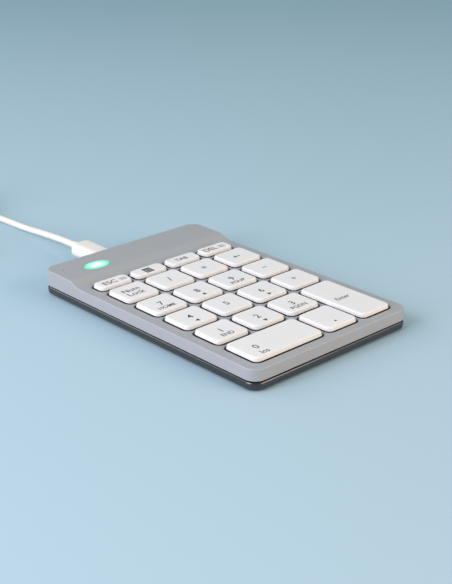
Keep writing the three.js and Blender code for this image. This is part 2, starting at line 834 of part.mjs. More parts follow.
function place(parent, name, shape, material) {
  const geometry = shape.isBufferGeometry ? shape : toGeometry(shape);
  const mesh = new THREE.Mesh(geometry, material);
  mesh.name = name;
  parent.add(mesh);
  return mesh;
}

const caseGroup = new THREE.Group();
place(caseGroup, "top_cover", topCover(), coverPlastic());
place(caseGroup, "base_tray", baseTray(), baseGloss());
place(caseGroup, "indicator_window", indicatorWindow(), greenDiffuser());
screwPlaces.forEach(([x, y], i) => {
  place(caseGroup, `case_screw_${i + 1}`, caseScrew(x, y), bareSteel());
});
footPlaces.forEach(([x, y], i) => {
  const foot = rod(x, y, 0, footThickness, footDiameter - 0.6, footDiameter, FOOT_SIDES);
  place(caseGroup, `foot_${i + 1}`, foot, footRubber());
});

const keyGroup = new THREE.Group();
keys.forEach((key) => {
  const cap = place(keyGroup, key.name, keycap(key), capPlastic());
  cap.position.set(key.x, key.y, 0);
  if (key.bar) {
    const bar = place(keyGroup, `${key.name}_bar`, wireBar(key), bareSteel());
    bar.position.set(key.x, key.y, 0);
  }
});

const insides = new THREE.Group();
place(insides, "key_frame", keyFrame(), framePlastic());
place(insides, "dome_sheet", domeSheet(), siliconeRubber());
place(insides, "switch_sheet", switchSheet(), polyesterFilm());
const plate = layer(plateBottom, plateBottom + plateThickness, filmInset);
place(insides, "backing_plate", plate, bareSteel());
place(insides, "circuit_board", circuitBoard(), boardLaminate());
place(insides, "usb_socket", usbSocket(), bareSteel());
const chipY = boardBack - chipSize / 2 - 3.7;
place(insides, "controller_chip", block(chipX, chipY, chipSize, chipSize, 0.9), chipEpoxy());
const connectorY = connectorFront + connectorDepth / 2;
const connector = block(connectorX, connectorY, connectorWidth, connectorDepth, 1.8);
place(insides, "membrane_connector", connector, chipEpoxy());
place(insides, "indicator_lamp", block(windowX, windowY, 6, 3, 1.1), lampDiffuser());
place(insides, "lock_light_pipe", lockLightPipe(), lampDiffuser());

const lead = new THREE.Group();
place(lead, "lead_plug_shell", plugShell(), bareSteel());
place(lead, "lead_plug_body", plugBody(), cordJacket());
const freeLead = new THREE.Group();
freeLead.position.set(portX, plugTail, 0);
lead.add(freeLead);
place(freeLead, "lead_cord", cordTube(cordRoute), cordJacket());
place(freeLead, "lead_coil", cordCoil(), cordJacket());
place(freeLead, "lead_tie", cordTie(), strapFabric());
place(freeLead, "lead_tail", cordTube(tailRoute), cordJacket());
place(freeLead, "far_plug_body", farPlugBody(), cordJacket());
place(freeLead, "far_plug_shell", farPlugShell(), bareSteel());

keypad.add(caseGroup, keyGroup, insides, lead);
export default keypad;
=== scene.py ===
import json
import math

import bmesh
import bpy
from mathutils import Matrix, Vector

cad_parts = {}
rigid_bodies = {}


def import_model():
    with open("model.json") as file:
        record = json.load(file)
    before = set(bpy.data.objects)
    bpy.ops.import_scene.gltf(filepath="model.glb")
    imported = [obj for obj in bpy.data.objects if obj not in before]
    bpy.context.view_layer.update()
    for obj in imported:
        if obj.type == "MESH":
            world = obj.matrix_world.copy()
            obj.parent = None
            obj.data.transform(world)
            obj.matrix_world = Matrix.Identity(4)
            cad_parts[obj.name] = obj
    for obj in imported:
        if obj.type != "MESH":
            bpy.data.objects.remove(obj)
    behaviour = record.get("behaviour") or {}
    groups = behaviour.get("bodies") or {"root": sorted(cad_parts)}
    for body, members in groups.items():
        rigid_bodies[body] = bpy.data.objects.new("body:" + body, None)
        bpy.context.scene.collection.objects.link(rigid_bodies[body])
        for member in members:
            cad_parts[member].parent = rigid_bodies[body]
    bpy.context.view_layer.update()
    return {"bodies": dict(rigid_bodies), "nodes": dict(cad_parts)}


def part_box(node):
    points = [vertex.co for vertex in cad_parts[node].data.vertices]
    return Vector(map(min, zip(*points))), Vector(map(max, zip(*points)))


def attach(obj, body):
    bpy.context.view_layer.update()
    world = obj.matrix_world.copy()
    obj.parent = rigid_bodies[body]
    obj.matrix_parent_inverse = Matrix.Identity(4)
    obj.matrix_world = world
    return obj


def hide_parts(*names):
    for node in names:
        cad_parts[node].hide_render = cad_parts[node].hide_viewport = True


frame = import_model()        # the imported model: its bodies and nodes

MM = 0.001

# The view: a short telephoto lens from the front left, looking down at the keys.
# The object frame has its origin on the table, +Y away from the user and +Z up.
VIEW_TARGET = Vector((-0.21, -3.8, 9.0)) * MM
VIEW_DISTANCE = 499 * MM
VIEW_TURN = math.radians(-42.88)
VIEW_RAISE = math.radians(22.8)
VIEW_LENS = 76.26
SENSOR_WIDTH = 36

towards_camera = Vector((
    math.sin(VIEW_TURN) * math.cos(VIEW_RAISE),
    -math.cos(VIEW_TURN) * math.cos(VIEW_RAISE),
    math.sin(VIEW_RAISE),
))
camera_lens = bpy.data.cameras.new("camera")
camera_lens.lens = VIEW_LENS
camera_lens.sensor_width = SENSOR_WIDTH
camera_lens.clip_start = 0.01
camera = bpy.data.objects.new("camera", camera_lens)
camera.location = VIEW_TARGET + VIEW_DISTANCE * towards_camera
camera.rotation_euler = towards_camera.to_track_quat("Z", "Y").to_euler()
bpy.context.scene.collection.objects.link(camera)
bpy.context.scene.camera = camera
bpy.context.scene.view_settings.view_transform = "Standard"


# The studio: a plain pale blue table under an even sky, a large soft light on the left, one
# above and a warm one in front, and two at the back left and right that edge the black base.
class Link:
    """One output socket of a finish. Arithmetic with it adds Math nodes to that finish."""

    def __init__(self, finish, socket):
        self.finish = finish
        self.socket = socket

    def math(self, operation, first, second):
        return self.finish.node("Math", {"operation": operation}, {0: first, 1: second})

    def __add__(self, other):
        return self.math("ADD", self, other)

    def __radd__(self, other):
        return self.math("ADD", other, self)

    def __sub__(self, other):
        return self.math("SUBTRACT", self, other)

    def __rsub__(self, other):
        return self.math("SUBTRACT", other, self)

    def __mul__(self, other):
        return self.math("MULTIPLY", self, other)

    def __rmul__(self, other):
        return self.math("MULTIPLY", other, self)


class Finish:
    """A material made of nodes. node() adds one: its settings first, then its sockets."""

    def __init__(self, name):
        self.material = bpy.data.materials.new(name)
        self.material.use_nodes = True
        self.tree = self.material.node_tree
        self.tree.nodes.clear()

    def node(self, kind, settings=None, sockets=None, output=0):
        node = self.tree.nodes.new("ShaderNode" + kind)
        for name, value in (settings or {}).items():
            setattr(node, name, value)
        for name, value in (sockets or {}).items():
            if isinstance(value, Link):
                self.tree.links.new(value.socket, node.inputs[name])
            else:
                node.inputs[name].default_value = value
        return Link(self, node.outputs[output]) if node.outputs else None

    def place(self):
        return self.node("TexCoord", output="Object")

    def noise(self, size, detail=2.0, stretch=(1, 1, 1)):
        """Noise from 0 to 1 whose blotches are about `size` metres across."""
        where = self.place()
        if stretch != (1, 1, 1):
            where = self.node("Mapping", None, {"Vector": where, "Scale": stretch})
        return self.node(
            "TexNoise", None, {"Vector": where, "Scale": 1 / size, "Detail": detail},
        )

    def spread(self, value, low, high):
        """Takes low..high of a value to 0..1, and holds it there outside."""
        sockets = {"Value": value, "From Min": low, "From Max": high}
        return self.node("MapRange", {"clamp": True}, sockets)

    def blend(self, share, first, second):
        """A colour that goes from the first to the second as share goes from 0 to 1."""
        sockets = {0: share, 6: colour_value(first), 7: colour_value(second)}
        return self.node("Mix", {"data_type": "RGBA"}, sockets, output=2)

    def relief(self, height, depth, normal=None):
        """A bump `depth` metres deep, on another bump if one is given."""
        sockets = {"Height": height, "Distance": depth, "Strength": 1.0}
        if normal:
            sockets["Normal"] = normal
        return self.node("Bump", None, sockets)

    def shine(self, **sockets):
        """The finish's surface shader, from the names of its sockets with _ for a space."""
        named = {name.replace("_", " "): value for name, value in sockets.items()}
        for name in ("Base Color", "Emission Color"):
            if name in named:
                named[name] = colour_value(named[name])
        shader = self.node("BsdfPrincipled", None, named)
        self.node("OutputMaterial", None, {"Surface": shader})
        return self.material


def colour_value(colour):
    return colour if isinstance(colour, Link) or len(colour) == 4 else (*colour, 1)


def table_finish():
    finish = Finish("table_paper")
    cloud = finish.noise(0.35, 3)
    colour = finish.blend(cloud, (0.40, 0.56, 0.65), (0.42, 0.58, 0.67))
    grain = finish.noise(0.0009, 3)
    return finish.shine(
        Base_Color=colour, Roughness=0.62, Normal=finish.relief(grain, 0.00002),
    )


def studio_light(name, place, size, power, colour):
    lamp = bpy.data.lights.new(name, "AREA")
    lamp.shape = "RECTANGLE"
    lamp.size, lamp.size_y = size
    lamp.energy = power
    lamp.color = colour
    light = bpy.data.objects.new(name, lamp)
    light.location = place
    light.rotation_euler = Vector(place).to_track_quat("Z", "Y").to_euler()
    bpy.context.scene.collection.objects.link(light)


TABLE_HALF = 3
table_mesh = bmesh.new()
bmesh.ops.create_grid(table_mesh, x_segments=1, y_segments=1, size=TABLE_HALF)
table_data = bpy.data.meshes.new("table")
table_mesh.to_mesh(table_data)
table_mesh.free()
table = bpy.data.objects.new("table", table_data)
table_data.materials.append(table_finish())
bpy.context.scene.collection.objects.link(table)

studio_light("window_left", (-0.80, 0.05, 0.42), (0.6, 0.6), 7.8, (1.0, 0.90, 0.98))
studio_light("top_panel", (0.0, 0.25, 0.95), (0.9, 0.7), 0.9, (1.0, 0.85, 0.76))
studio_light("fill_right", (0.35, -0.85, 0.35), (0.6, 0.5), 6.0, (1.0, 0.73, 0.52))
studio_light("rim_left", (-0.44, 0.76, 0.50), (0.6, 0.45), 2.2, (1.0, 0.97, 0.95))
studio_light("rim_right", (0.72, -0.5, 0.48), (0.5, 0.4), 1.0, (1.0, 0.95, 0.9))
sky = bpy.data.worlds.new("sky")
sky.use_nodes = True
sky.node_tree.nodes["Background"].inputs["Color"].default_value = (0.65, 0.90, 1.0, 1)
sky.node_tree.nodes["Background"].inputs["Strength"].default_value = 0.41
bpy.context.scene.world = sky


# The lead: 1.5 m of 3 mm cord with a soft vinyl jacket, extruded in one length. A first
# stretch runs back onto the table, the rest is wound in four layers and tied.
CORD_DIAMETER = 3 * MM
CORD_LENGTH = 1.5
PLUG_LOW, PLUG_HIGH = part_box("lead_plug_body")
PORT_X = (PLUG_LOW.x + PLUG_HIGH.x) / 2
PORT_HEIGHT = (PLUG_LOW.z + PLUG_HIGH.z) / 2
CORD_START = Vector((PORT_X, PLUG_HIGH.y, 0))
CORD_ROUTE = [
    (0, 0.3, 6.4),
    (0.2, 6, 6.35),
    (0.6, 12, 5.9),
    (1.2, 19, 5.2),
    (1.8, 26, 4.4),
    (2.5, 33, 3.5),
    (3.1, 40, 2.6),
    (3.6, 47, 1.9),
    (3.8, 54, 1.55),
    (3.6, 61, 1.5),
    (3.1, 68, 1.5),
    (2.6, 74, 1.5),
    (2.4, 80.4, 1.5),
]
TAIL_ROUTE = [
    (-41, 80.4, 9),
    (-41.1, 76, 7.4),
    (-41.1, 71.5, 5.6),
    (-41.1, 67, 4.5),
    (-41.1, 63.3, 4.2),
]
COIL_CENTRE = Vector((-19.1, 93, 0))
COIL_LAYERS = 4
COIL_TURNS = 13.5
COIL_OUTER = 21.5
LAYER_STEP = 2.93
STRAP_LIFT = 0.7
POINTS_PER_TURN = 20


def coil_route(inner):
    """The wound part, layer on layer, each spiral going the other way from the last."""
    count = int(COIL_TURNS * POINTS_PER_TURN)
    points = []
    for i in range(1, count):
        share = i / count * COIL_LAYERS
        layer = min(int(share), COIL_LAYERS - 1)
        along = share - layer
        inward = along if layer % 2 == 0 else 1 - along
        radius = COIL_OUTER + (inner - COIL_OUTER) * inward
        step_up = max(0.0, along - 0.88) / 0.12 if layer < COIL_LAYERS - 1 else 0.0
        angle = 2 * math.pi * COIL_TURNS * i / count
        at_strap = max(0.0, math.cos(angle - math.pi / 2)) ** 4
        rise = layer + step_up * step_up * (3 - 2 * step_up)
        height = CORD_DIAMETER / MM / 2 + LAYER_STEP * rise + STRAP_LIFT * at_strap
        turn = Vector((radius * math.cos(angle), radius * math.sin(angle), height))
        points.append(COIL_CENTRE + turn)
    return points


def route_length(points):
    return sum((Vector(b) - Vector(a)).length for a, b in zip(points, points[1:])) * MM


def whole_route():
    """The route whose coil takes up exactly what the free stretches leave of the cord."""
    tight, loose = 9.0, 16.0
    for _ in range(30):
        inner = (tight + loose) / 2
        points = [*CORD_ROUTE, *coil_route(inner), *TAIL_ROUTE]
        if route_length(points) < CORD_LENGTH * 0.9975:
            tight = inner
        else:
            loose = inner
    return [CORD_START + Vector(point) * MM for point in points]


def jacket_finish(name, colour, roughness):
    """Soft vinyl: satin, with faint handling marks and a very fine, uneven skin."""
    finish = Finish(name)
    marks = finish.spread(finish.noise(0.006, 4), 0.45, 0.75)
    darker = [0.93 * colour[0], 0.915 * colour[1], 0.89 * colour[2]]
    skin = finish.noise(0.00035, 2)
    ripple = finish.noise(0.004, 2)
    return finish.shine(
        Base_Color=finish.blend(marks, colour, darker),
        Roughness=roughness + 0.12 * marks,
        Normal=finish.relief(skin, 0.000008, finish.relief(ripple, 0.00005)),
        Subsurface_Weight=0.08,
        Subsurface_Radius=(0.002, 0.0016, 0.0012),
        Subsurface_Scale=0.3,
    )


def finished(name, solid, body, slot, finish, *replaced):
    """Turns a bmesh into a piece of the object that moves with one body."""
    mesh = bpy.data.meshes.new(name)
    solid.to_mesh(mesh)
    solid.free()
    mesh.materials.append(finish)
    mesh.shade_smooth()
    mesh.set_sharp_from_angle(angle=math.radians(32))
    piece = bpy.data.objects.new(name, mesh)
    bpy.context.scene.collection.objects.link(piece)
    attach(piece, body)
    if replaced:
        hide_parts(*replaced)
    return piece


def even_normals(piece):
    """Keeps the flat faces flat beside the rounded edges."""
    weighted = piece.modifiers.new("even_normals", "WEIGHTED_NORMAL")
    weighted.keep_sharp = True
    weighted.weight = 80
    return piece


vinyl = jacket_finish("lead_jacket", (0.80, 0.775, 0.73), 0.38)
cord_curve = bpy.data.curves.new("lead_cord_line", "CURVE")
cord_curve.dimensions = "3D"
cord_curve.bevel_depth = CORD_DIAMETER / 2
cord_curve.bevel_resolution = 5
cord_curve.resolution_u = 3
cord_curve.use_fill_caps = True
cord_line = cord_curve.splines.new("BEZIER")
cord_points = whole_route()
cord_line.bezier_points.add(len(cord_points) - 1)
for bead, point in zip(cord_line.bezier_points, cord_points):
    bead.co = point
    bead.handle_left_type = "AUTO"
    bead.handle_right_type = "AUTO"
cord_curve.materials.append(vinyl)
cord = bpy.data.objects.new("lead_cord_line", cord_curve)
bpy.context.scene.collection.objects.link(cord)
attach(cord, "lead")
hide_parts("lead_cord", "lead_coil", "lead_tail")


# The plug's overmould: soft vinyl over the metal shell, with round shoulders all over and a
# short taper that eases the cord's bend. It is moulded onto the end of the cord.
PLUG_TAPER = 4 * MM


def rounded_block(low, high, corner, segments=8):
    """An upright block between two corners, its four upright edges rounded."""
    solid = bmesh.new()
    bmesh.ops.create_cube(solid, size=1)
    size = high - low
    bmesh.ops.scale(solid, vec=size, verts=solid.verts)
    bmesh.ops.translate(solid, vec=(low + high) / 2, verts=solid.verts)
    upright = [e for e in solid.edges if abs(e.verts[0].co.z - e.verts[1].co.z) > size.z / 2]
    round_off(solid, upright, corner, segments)
    return solid


def round_off(solid, edges, radius, segments):
    bmesh.ops.bevel(
        solid, geom=edges, offset=radius, segments=segments, profile=0.5,
        affect="EDGES", material=-1,
    )


def round_level(solid, height, radius, segments):
    """Rounds the edges that lie level at one height."""
    level = [e for e in solid.edges if all(abs(v.co.z - height) < 1e-7 for v in e.verts)]
    round_off(solid, level, radius, segments)


def gathered(*parts):
    """One bmesh with all the parts in it, which it uses up."""
    whole = bmesh.new()
    for part in parts:
        mesh = bpy.data.meshes.new("scratch")
        part.to_mesh(mesh)
        part.free()
        whole.from_mesh(mesh)
        bpy.data.meshes.remove(mesh)
    return whole


def combined(operation, solid, tool):
    """Cuts (DIFFERENCE) or joins (UNION) one solid with another and returns the result."""
    objects = []
    for part in (solid, tool):
        mesh = bpy.data.meshes.new("scratch")
        part.to_mesh(mesh)
        part.free()
        scratch = bpy.data.objects.new("scratch", mesh)
        bpy.context.scene.collection.objects.link(scratch)
        objects.append(scratch)
    modifier = objects[0].modifiers.new("combine", "BOOLEAN")
    modifier.operation = operation
    modifier.object = objects[1]
    modifier.solver = "EXACT"
    result = bmesh.new()
    result.from_object(objects[0], bpy.context.evaluated_depsgraph_get())
    for scratch in objects:
        mesh = scratch.data
        bpy.data.objects.remove(scratch)
        bpy.data.meshes.remove(mesh)
    return result


def disc(x, y, bottom, top, radius_bottom, radius_top=None, segments=48):
    """An upright round solid, straight or tapered."""
    solid = bmesh.new()
    bmesh.ops.create_cone(
        solid, cap_ends=True, segments=segments, radius1=radius_bottom,
        radius2=radius_bottom if radius_top is None else radius_top, depth=top - bottom,
    )
    bmesh.ops.translate(solid, vec=(x, y, (bottom + top) / 2), verts=solid.verts)
    return solid


def laid_back(solid, place):
    """Turns a solid that stands on +Z so that it lies along +Y, and moves it to its place."""
    turn = Matrix.Rotation(math.radians(-90), 4, "X")
    bmesh.ops.transform(solid, matrix=Matrix.Translation(place) @ turn, verts=solid.verts)
    return solid


def overmould(size, corner, edge, neck_radius):
    """A soft body that stands on z = 0, with a round taper above it that meets the cord."""
    width, thickness, length = size
    half = Vector((width / 2, thickness / 2, 0))
    body = rounded_block(-half, half + Vector((0, 0, length)), corner, 8)
    round_level(body, 0, edge * 0.4, 4)
    round_level(body, length, edge, 8)
    tip = CORD_DIAMETER / 2 + 0.3 * MM
    neck = disc(0, 0, length - 1 * MM, length + PLUG_TAPER, neck_radius, tip, 32)
    return combined("UNION", body, neck)


def body_size(low, high):
    """The width, thickness and length of a plug's body in its box, without the taper."""
    return high.x - low.x, high.z - low.z, high.y - low.y - PLUG_TAPER


plug_size = body_size(PLUG_LOW, PLUG_HIGH)
plug_body = overmould(plug_size, plug_size[1] / 2 - 0.3 * MM, 1.6 * MM, 2.6 * MM)
laid_back(plug_body, Vector((PORT_X, PLUG_LOW.y, PORT_HEIGHT)))
plug = even_normals(
    finished("plug_overmould", plug_body, "lead", "jacket", vinyl, "lead_plug_body"),
)


# The far plug lies beside the coil: a wide flat overmould with four grip grooves on each
# face, and a steel shell. A woven strap holds the coil.
def lying_grooves(low, high, places, width, depth):
    """Cutters for grooves across both faces of a body that lies along Y."""
    cutters = []
    for y in places:
        for face, way in ((low.z, -1), (high.z, 1)):
            middle = face + way * (width / 2 - depth)
            bar = disc(0, 0, low.x + 2.5 * MM, high.x - 2.5 * MM, width / 2, segments=20)
            lie = Matrix.Translation((0, y, middle)) @ Matrix.Rotation(math.radians(90), 4, "Y")
            bmesh.ops.transform(bar, matrix=lie, verts=bar.verts)
            cutters.append(bar)
    return gathered(*cutters)


def steel_finish(name, colour, roughness):
    """Cold-rolled steel: rolling lines one way, dull blotches and fine scratches."""
    finish = Finish(name)
    lines = finish.noise(0.0012, 3, stretch=(12, 1, 1))
    dull = finish.spread(finish.noise(0.004, 4), 0.4, 0.7)
    scratch = finish.noise(0.0004, 2, stretch=(1, 14, 1))
    tint = [0.82 * part for part in colour]
    return finish.shine(
        Base_Color=finish.blend(dull, colour, tint),
        Metallic=1.0,
        Roughness=roughness + 0.14 * dull + 0.08 * lines,
        Normal=finish.relief(scratch, 0.000006, finish.relief(lines, 0.000004)),
    )


def repaint(material, *nodes):
    for node in nodes:
        frame["nodes"][node].data.materials.clear()
        frame["nodes"][node].data.materials.append(material)


def strap_finish():
    """Woven polyester: crossed ribs of yarn, fuzzy, with shade painted a little darker between
    them.
    """
    finish = Finish("strap_weave")
    warp = finish.node("TexWave", {"bands_direction": "X"}, {
        "Vector": finish.place(), "Scale": 420.0, "Distortion": 1.2, "Detail": 2.0,
    }, output="Fac")
    weft = finish.node("TexWave", {"bands_direction": "DIAGONAL"}, {
        "Vector": finish.place(), "Scale": 380.0, "Distortion": 1.5, "Detail": 2.0,
    }, output="Fac")
    weave = warp * 0.5 + weft * 0.5
    # The colour follows the weave's height: painted shade darkens the yarn between the ribs.
    return finish.shine(
        Base_Color=finish.blend(weave, (0.55, 0.54, 0.52), (0.80, 0.79, 0.76)),
        Roughness=0.8 + 0.1 * weave,
        Normal=finish.relief(weave, 0.00012),
    )


far_low, far_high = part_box("far_plug_body")
far_middle = (far_low + far_high) / 2
far_body = overmould(body_size(far_low, far_high), 2.2 * MM, 1.2 * MM, 3 * MM)
laid_back(far_body, Vector((far_middle.x, far_low.y, far_middle.z)))
grooves = lying_grooves(
    far_low, far_high, [far_low.y + (7 + 2.4 * i) * MM for i in range(4)], 1.2 * MM, 0.35 * MM,
)
far_body = combined("DIFFERENCE", far_body, grooves)
far_plug = even_normals(
    finished("far_plug_overmould", far_body, "lead", "jacket", vinyl, "far_plug_body"),
)

steel = steel_finish("rolled_steel", (0.60, 0.60, 0.61), 0.24)
repaint(steel, "lead_plug_shell", "far_plug_shell", "usb_socket")

tie_low, tie_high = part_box("lead_tie")
STRAP = 0.6 * MM


def strap_loop(inset, overrun):
    """The strap's rounded outline in the Y-Z plane, as a solid along X."""
    low = Vector((tie_low.y + inset, tie_low.z + inset, tie_low.x - overrun))
    high = Vector((tie_high.y - inset, tie_high.z - inset, tie_high.x + overrun))
    solid = rounded_block(low, high, 2 * MM - inset, 6)
    to_x = Matrix(((0, 0, 1, 0), (1, 0, 0, 0), (0, 1, 0, 0), (0, 0, 0, 1)))
    bmesh.ops.transform(solid, matrix=to_x, verts=solid.verts)
    return solid


strap_body = combined("DIFFERENCE", strap_loop(0, 0), strap_loop(STRAP, 1 * MM))
strap = finished("coil_strap", strap_body, "lead", "strap", strap_finish(), "lead_tie")


# The base tray: a shallow tray moulded in gloss black, with a rounded rim just proud of the
# cover and a thin lip that stands inside it. Screws and feet sit in round recesses below.
CASE_CORNER = 5 * MM
BASE_PROUD = 0.2 * MM
WALL = 1.8 * MM
FIT = 0.3 * MM
LIP_WALL = 0.6 * MM
BASE_SPLIT = 3.8 * MM
BASE_FLOOR_TOP = 2.0 * MM
BASE_LOW, BASE_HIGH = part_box("base_tray")


def plan_block(inset, bottom, top, segments=10):
    """A block with the case's outline, moved in by `inset`, between two heights."""
    step = Vector((inset + BASE_PROUD, inset + BASE_PROUD, 0))
    low = Vector((BASE_LOW.x, BASE_LOW.y, bottom)) + step
    high = Vector((BASE_HIGH.x, BASE_HIGH.y, top)) - step
    return rounded_block(low, high, CASE_CORNER - inset, segments)


def gloss_finish():
    """Polished black plastic: a hard clear shine over hairline scratches and some dust."""
    finish = Finish("base_gloss")
    smudge = finish.spread(finish.noise(0.012, 4), 0.45, 0.8)
    hairline = finish.noise(0.0005, 3, stretch=(1, 20, 20))
    dust = finish.spread(finish.noise(0.0006, 2), 0.70, 0.76)
    return finish.shine(
        Base_Color=finish.blend(dust, (0.013, 0.014, 0.015), (0.10, 0.10, 0.10)),
        Roughness=0.12 + 0.14 * smudge + 0.25 * dust,
        Normal=finish.relief(hairline, 0.0000015),
        IOR=1.75,
    )


def centre_of(node):
    low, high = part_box(node)
    return (low + high) / 2


tray = plan_block(-BASE_PROUD, BASE_LOW.z, BASE_SPLIT, 14)
round_level(tray, BASE_LOW.z, 1.1 * MM, 6)
round_level(tray, BASE_SPLIT, 0.8 * MM, 6)
lip_inset = WALL - LIP_WALL - FIT
tray = combined("UNION", tray, plan_block(lip_inset, BASE_SPLIT - 1 * MM, BASE_HIGH.z))
tray = combined("DIFFERENCE", tray, plan_block(WALL - FIT, BASE_FLOOR_TOP, 12 * MM))
recesses = []
SCREWS = [f"case_screw_{i}" for i in range(1, 7)]
FEET = [f"foot_{i}" for i in range(1, 5)]
for screw in SCREWS:
    spot = centre_of(screw)
    recesses.append(disc(spot.x, spot.y, -1 * MM, 1.4 * MM, 1.9 * MM))
screw_ways = gathered(
    *[disc(*centre_of(screw).to_2d(), 1 * MM, 3 * MM, 1.1 * MM, segments=24) for screw in SCREWS],
)
for foot in FEET:
    spot = centre_of(foot)
    recesses.append(disc(spot.x, spot.y, -1 * MM, 1.2 * MM, 4.3 * MM))
tray = combined("DIFFERENCE", tray, gathered(*recesses))
tray = combined("DIFFERENCE", tray, screw_ways)
even_normals(finished("base_shell", tray, "case", "base", gloss_finish(), "base_tray"))


# Rubber feet pressed into the recesses, each with a ring groove, and steel screws.
def rubber_finish():
    finish = Finish("foot_rubber")
    chalk = finish.spread(finish.noise(0.002, 4), 0.4, 0.8)
    return finish.shine(
        Base_Color=finish.blend(chalk, (0.022, 0.022, 0.024), (0.05, 0.05, 0.05)),
        Roughness=0.75 + 0.15 * chalk,
        Normal=finish.relief(finish.noise(0.00025, 2), 0.00002),
    )


rubber = rubber_finish()
for foot in FEET:
    spot = centre_of(foot)
    low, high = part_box(foot)
    pad = disc(spot.x, spot.y, low.z, high.z, 3.98 * MM, segments=64)
    round_level(pad, low.z, 0.25 * MM, 4)
    groove = combined(
        "DIFFERENCE",
        disc(spot.x, spot.y, -0.5 * MM, 0.2 * MM, 2.6 * MM),
        disc(spot.x, spot.y, -1 * MM, 1 * MM, 2.0 * MM),
    )
    pad = combined("DIFFERENCE", pad, groove)
    even_normals(finished(f"{foot}_pad", pad, "case", "foot", rubber, foot))

for screw in SCREWS:
    spot = centre_of(screw)
    low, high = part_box(screw)
    head = disc(spot.x, spot.y, low.z, low.z + 0.5 * MM, 1.59 * MM, segments=40)
    round_level(head, low.z, 0.2 * MM, 4)
    shank = disc(spot.x, spot.y, low.z + 0.4 * MM, high.z, 0.79 * MM, segments=24)
    head = combined("UNION", head, shank)
    for across, along in ((0.9, 0.16), (0.16, 0.9)):
        arm = Vector((across, along, 0.35)) * MM
        middle = Vector((spot.x, spot.y, low.z))
        slot = rounded_block(middle - arm, middle + arm, 0.05 * MM, 2)
        head = combined("DIFFERENCE", head, slot)
    even_normals(finished(f"{screw}_head", head, "case", "steel", steel, screw))


# What lies inside: a steel plate, a printed film, a sheet of silicone domes, the moulded
# frame that guides the keys, two wire bars, and the circuit board with its parts.
def inner_plastic(name, colour, roughness):
    """Unpolished moulded plastic: a spark-eroded grain and faint flow marks."""
    finish = Finish(name)
    flow = finish.noise(0.02, 3, stretch=(1, 4, 1))
    grain = finish.noise(0.0003, 2)
    light = [min(1, 1.25 * part) for part in colour]
    return finish.shine(
        Base_Color=finish.blend(flow, colour, light),
        Roughness=roughness + 0.1 * flow,
        Normal=finish.relief(grain, 0.00002),
    )


def silicone_finish():
    finish = Finish("dome_silicone")
    haze = finish.noise(0.004, 4)
    return finish.shine(
        Base_Color=finish.blend(haze, (0.62, 0.66, 0.68), (0.74, 0.77, 0.78)),
        Roughness=0.5 + 0.2 * haze,
        Normal=finish.relief(finish.noise(0.0006, 2), 0.00002),
        Subsurface_Weight=0.3,
        Subsurface_Radius=(0.003, 0.003, 0.003),
        Subsurface_Scale=0.4,
    )


def film_finish():
    """Clear polyester with silver tracks printed on it in bands."""
    finish = Finish("switch_film")
    tracks = finish.node("TexBrick", {"offset": 0.5}, {
        "Vector": finish.place(), "Scale": 90.0, "Mortar Size": 0.06,
    }, output="Fac")
    return finish.shine(
        Base_Color=finish.blend(tracks, (0.42, 0.50, 0.46), (0.62, 0.62, 0.60)),
        Roughness=0.3 + 0.15 * tracks,
        Normal=finish.relief(tracks, 0.00002),
    )


def laminate_finish():
    """Green solder mask over copper tracks that run in straight lines."""
    finish = Finish("board_laminate")
    tracks = finish.node("TexBrick", {"offset": 0.37}, {
        "Vector": finish.place(), "Scale": 160.0, "Mortar Size": 0.09,
    }, output="Fac")
    weave = finish.noise(0.0007, 2)
    return finish.shine(
        Base_Color=finish.blend(tracks, (0.012, 0.10, 0.035), (0.03, 0.22, 0.08)),
        Roughness=0.3 + 0.2 * weave,
        Normal=finish.relief(tracks, 0.00003, finish.relief(weave, 0.00001)),
    )


def lamp_finish():
    finish = Finish("lamp_diffuser")
    haze = finish.noise(0.0008, 3)
    return finish.shine(
        Base_Color=finish.blend(haze, (0.75, 0.77, 0.72), (0.86, 0.88, 0.84)),
        Roughness=0.25 + 0.2 * haze,
        Normal=finish.relief(haze, 0.00001),
        Transmission_Weight=0.3,
    )


repaint(inner_plastic("frame_plastic", (0.018, 0.018, 0.02), 0.5), "key_frame")
repaint(silicone_finish(), "dome_sheet")
repaint(film_finish(), "switch_sheet")
repaint(steel, "backing_plate", "key_0_bar", "key_enter_bar")
repaint(laminate_finish(), "circuit_board")
chip_epoxy = inner_plastic("chip_epoxy", (0.012, 0.012, 0.013), 0.45)
repaint(chip_epoxy, "controller_chip", "membrane_connector")
repaint(lamp_finish(), "indicator_lamp", "lock_light_pipe")


# The top cover: one moulding with a flat deck, a raised back edge and an opening for each
# key. It is sprayed a fine matt silver that hands have rubbed smoother in patches.
COVER_LOW, COVER_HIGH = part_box("top_cover")
COVER_BOTTOM = 4.3 * MM
COVER_EDGE = 0.45 * MM
DECK_THICKNESS = 1.6 * MM
DECK_HEIGHT = 9 * MM
HUMP_RISE = COVER_HIGH.z - DECK_HEIGHT
SLOPE_LENGTH = 7.8 * MM
DECK_BACK = COVER_HIGH.y - 17.2 * MM - SLOPE_LENGTH
SLOPE_STEPS = 14
OPENING_GAP = 0.8 * MM
OPENING_CORNER = 3.0 * MM
OPENING_LIP = 0.22 * MM
KEYS = [name for name in frame["bodies"] if name.startswith("key_") and not name.endswith("_bar")]


def slice_level(solid, place, normal):
    everything = [*solid.verts, *solid.edges, *solid.faces]
    bmesh.ops.bisect_plane(solid, geom=everything, plane_co=place, plane_no=normal, dist=1e-8)


def slope_point(share):
    """One point (y, rise) of the S-shaped rise from the deck to the hump."""
    along = 1.5 * share - 1.5 * share ** 2 + share ** 3
    return DECK_BACK + SLOPE_LENGTH * along, HUMP_RISE * (3 * share ** 2 - 2 * share ** 3)


